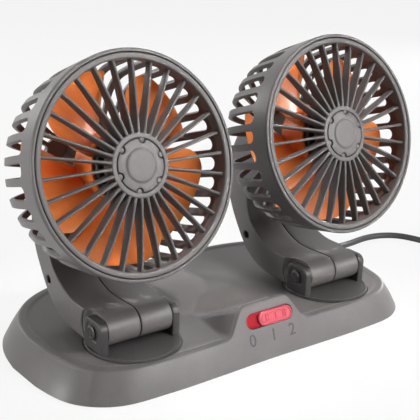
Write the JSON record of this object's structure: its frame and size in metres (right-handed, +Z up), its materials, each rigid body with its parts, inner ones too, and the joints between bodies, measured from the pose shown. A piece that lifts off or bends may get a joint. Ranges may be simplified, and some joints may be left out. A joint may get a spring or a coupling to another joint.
{
  "type": "twin-head desk and car fan",
  "caption": "Two round spoked fan heads on curved arms that tilt and swivel on a low oval base with a slide switch and a power lead.",
  "frame": {"origin": "middle of the base's footprint, on the surface that the feet stand on", "axes": "+X towards the right head and the lead, +Y to the rear, +Z up; the heads blow towards -Y"},
  "size_m": [0.389, 0.1174, 0.149],
  "materials": {
    "graphite_plastic": "fine satin texture",
    "dark_plastic": "satin",
    "orange_plastic": "smooth, a little translucent",
    "black_plastic": "satin",
    "red_plastic": "smooth",
    "knob_plastic": "smooth",
    "rubber": "matt",
    "cord_jacket": "smooth matt jacket",
    "steel": "zinc plated",
    "circuit_board": "lacquered board"
  },
  "bodies": {
    "base": {"base_shell": "graphite_plastic", "centre_cover": "graphite_plastic", "base_plate": "dark_plastic", "plate_screw_front_left": "steel", "plate_screw_front_right": "steel", "plate_screw_rear_left": "steel", "plate_screw_rear_right": "steel", "foot_front_left": "rubber", "foot_front_right": "rubber", "foot_rear_left": "rubber", "foot_rear_right": "rubber", "circuit_board": "circuit_board", "switch_body": "red_plastic", "cord_gland": "rubber", "cord_lead": "cord_jacket", "cord_coil": "cord_jacket", "cord_tail": "cord_jacket", "cord_tie": "rubber", "plug_grip": "cord_jacket", "plug_sleeve": "steel", "plug_tongue": "black_plastic"},
    "switch": {"switch_knob": "knob_plastic"},
    "turntable_left": {"turntable_left": "dark_plastic", "turntable_washer_left": "steel", "washer_screw_left_1": "steel", "washer_screw_left_2": "steel", "hinge_pin_left": "steel", "hinge_cap_left": "dark_plastic"},
    "head_left": {"arm_left_half_left": "graphite_plastic", "arm_right_half_left": "graphite_plastic", "arm_screw_left": "steel", "head_screw_left_1": "steel", "head_screw_left_2": "steel", "rear_housing_left": "graphite_plastic", "front_grille_left": "graphite_plastic", "hub_cap_left": "graphite_plastic", "motor_left": "steel"},
    "fan_left": {"impeller_left": "orange_plastic", "rotor_cup_left": "black_plastic", "motor_shaft_left": "steel"},
    "turntable_right": {"turntable_right": "dark_plastic", "turntable_washer_right": "steel", "washer_screw_right_1": "steel", "washer_screw_right_2": "steel", "hinge_pin_right": "steel", "hinge_cap_right": "dark_plastic"},
    "head_right": {"arm_left_half_right": "graphite_plastic", "arm_right_half_right": "graphite_plastic", "arm_screw_right": "steel", "head_screw_right_1": "steel", "head_screw_right_2": "steel", "rear_housing_right": "graphite_plastic", "front_grille_right": "graphite_plastic", "hub_cap_right": "graphite_plastic", "motor_right": "steel"},
    "fan_right": {"impeller_right": "orange_plastic", "rotor_cup_right": "black_plastic", "motor_shaft_right": "steel"}
  },
  "joints": [
    {"name": "swivel_left", "type": "hinge", "parent": "base", "child": "turntable_left", "pos_m": [-0.0617, -0.0275, 0.015], "axis": [0, 0, 1], "range_deg": [-180, 180]},
    {"name": "tilt_left", "type": "hinge", "parent": "turntable_left", "child": "head_left", "pos_m": [-0.0617, -0.0272, 0.024], "axis": [1, 0, 0], "range_deg": [0, 60]},
    {"name": "spin_left", "type": "hinge", "parent": "head_left", "child": "fan_left", "pos_m": [-0.0617, -0.0315, 0.1002], "axis": [0, -0.9588, 0.284], "continuous": true},
    {"name": "swivel_right", "type": "hinge", "parent": "base", "child": "turntable_right", "pos_m": [0.0617, -0.0275, 0.015], "axis": [0, 0, 1], "range_deg": [-180, 180]},
    {"name": "tilt_right", "type": "hinge", "parent": "turntable_right", "child": "head_right", "pos_m": [0.0617, -0.0272, 0.024], "axis": [1, 0, 0], "range_deg": [0, 60]},
    {"name": "spin_right", "type": "hinge", "parent": "head_right", "child": "fan_right", "pos_m": [0.0617, -0.0315, 0.1002], "axis": [0, -0.9588, 0.284], "continuous": true},
    {"name": "switch_slide", "type": "slide", "parent": "base", "child": "switch", "axis": [1, 0, 0], "range_m": [-0.0068, 0]}
  ]
}
